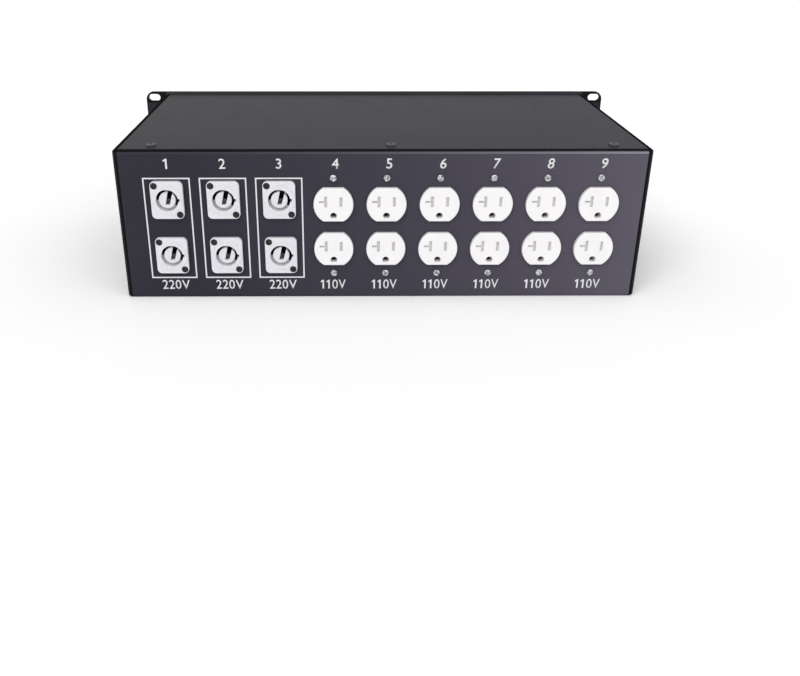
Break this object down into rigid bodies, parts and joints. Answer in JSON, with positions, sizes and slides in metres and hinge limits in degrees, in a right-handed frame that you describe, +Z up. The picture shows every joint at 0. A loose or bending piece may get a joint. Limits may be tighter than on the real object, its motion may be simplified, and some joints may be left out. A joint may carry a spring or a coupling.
{
  "type": "rackmount power distribution box",
  "caption": "Rackmount power distribution box with breakers, a flanged locking inlet and panel meters in front, and round locking and duplex outlets behind.",
  "frame": {"origin": "middle of the tray's underside, halfway along the body's depth behind the panel", "axes": "+X to the right seen from the front, the front panel faces -Y, +Z up"},
  "size_m": [0.4826, 0.2553, 0.1325],
  "materials": {
    "black_sheet": "satin",
    "black_screw": "satin",
    "zinc_steel": "satin",
    "grey_shell": "matte",
    "white_outlet": "gloss",
    "breaker_body": "matte",
    "toggle": "satin",
    "label": "satin",
    "inlet_shell": "satin",
    "inlet_core": "matte",
    "brass": "satin",
    "copper": "satin",
    "meter_case": "satin",
    "clear_window": "gloss",
    "display": "satin",
    "black_insulation": "satin",
    "red_insulation": "satin",
    "white_insulation": "satin",
    "green_insulation": "satin"
  },
  "bodies": {
    "enclosure": {"front_panel": "black_sheet", "base_tray": "black_sheet", "top_cover": "black_sheet", "ear_bracket_left": "black_sheet", "ear_bracket_right": "black_sheet", "cover_screws": "black_screw", "panel_screws": "black_screw", "locking_outlet_screws": "black_screw", "locking_outlet_contacts": "brass", "duplex_screws": "zinc_steel", "duplex_straps": "zinc_steel", "duplex_contacts": "brass", "duplex_shutters": "white_outlet", "breaker_labels": "label", "breaker_terminals": "zinc_steel", "inlet_flange": "inlet_shell", "inlet_base": "inlet_core", "inlet_blades": "brass", "inlet_screws": "zinc_steel", "meter_x_case": "meter_case", "meter_y_case": "meter_case", "meter_windows": "clear_window", "meter_displays": "display", "din_rail": "zinc_steel", "rail_brackets": "zinc_steel", "busbars": "copper", "terminal_bars": "brass", "bar_feet": "meter_case", "current_sensors": "meter_case", "wires_line_x": "black_insulation", "wires_line_y": "red_insulation", "wires_neutral": "white_insulation", "wires_ground": "green_insulation", "locking_outlets_1": "grey_shell", "locking_outlets_2": "grey_shell", "locking_outlets_3": "grey_shell", "duplex_outlet_4": "white_outlet", "duplex_outlet_5": "white_outlet", "duplex_outlet_6": "white_outlet", "duplex_outlet_7": "white_outlet", "duplex_outlet_8": "white_outlet", "duplex_outlet_9": "white_outlet", "breaker_1": "breaker_body", "breaker_2": "breaker_body", "breaker_3": "breaker_body", "breaker_4": "breaker_body", "breaker_5": "breaker_body", "breaker_6": "breaker_body", "breaker_7": "breaker_body", "breaker_8": "breaker_body", "breaker_9": "breaker_body"},
    "toggle_1": {"toggle_1": "toggle"},
    "toggle_2": {"toggle_2": "toggle"},
    "toggle_3": {"toggle_3": "toggle"},
    "toggle_4": {"toggle_4": "toggle"},
    "toggle_5": {"toggle_5": "toggle"},
    "toggle_6": {"toggle_6": "toggle"},
    "toggle_7": {"toggle_7": "toggle"},
    "toggle_8": {"toggle_8": "toggle"},
    "toggle_9": {"toggle_9": "toggle"}
  },
  "joints": [
    {"name": "toggle_1_swing", "type": "hinge", "parent": "enclosure", "child": "toggle_1", "pos_m": [-0.171, -0.12, 0.059], "axis": [-1, 0, 0], "range_deg": [0, 84]},
    {"name": "toggle_2_swing", "type": "hinge", "parent": "enclosure", "child": "toggle_2", "pos_m": [-0.135, -0.12, 0.059], "axis": [-1, 0, 0], "range_deg": [0, 84]},
    {"name": "toggle_3_swing", "type": "hinge", "parent": "enclosure", "child": "toggle_3", "pos_m": [-0.099, -0.12, 0.059], "axis": [-1, 0, 0], "range_deg": [0, 84]},
    {"name": "toggle_4_swing", "type": "hinge", "parent": "enclosure", "child": "toggle_4", "pos_m": [-0.072, -0.12, 0.059], "axis": [-1, 0, 0], "range_deg": [0, 84]},
    {"name": "toggle_5_swing", "type": "hinge", "parent": "enclosure", "child": "toggle_5", "pos_m": [-0.054, -0.12, 0.059], "axis": [-1, 0, 0], "range_deg": [0, 84]},
    {"name": "toggle_6_swing", "type": "hinge", "parent": "enclosure", "child": "toggle_6", "pos_m": [-0.036, -0.12, 0.059], "axis": [-1, 0, 0], "range_deg": [0, 84]},
    {"name": "toggle_7_swing", "type": "hinge", "parent": "enclosure", "child": "toggle_7", "pos_m": [-0.018, -0.12, 0.059], "axis": [-1, 0, 0], "range_deg": [0, 84]},
    {"name": "toggle_8_swing", "type": "hinge", "parent": "enclosure", "child": "toggle_8", "pos_m": [0, -0.12, 0.059], "axis": [-1, 0, 0], "range_deg": [0, 84]},
    {"name": "toggle_9_swing", "type": "hinge", "parent": "enclosure", "child": "toggle_9", "pos_m": [0.018, -0.12, 0.059], "axis": [-1, 0, 0], "range_deg": [0, 84]}
  ]
}
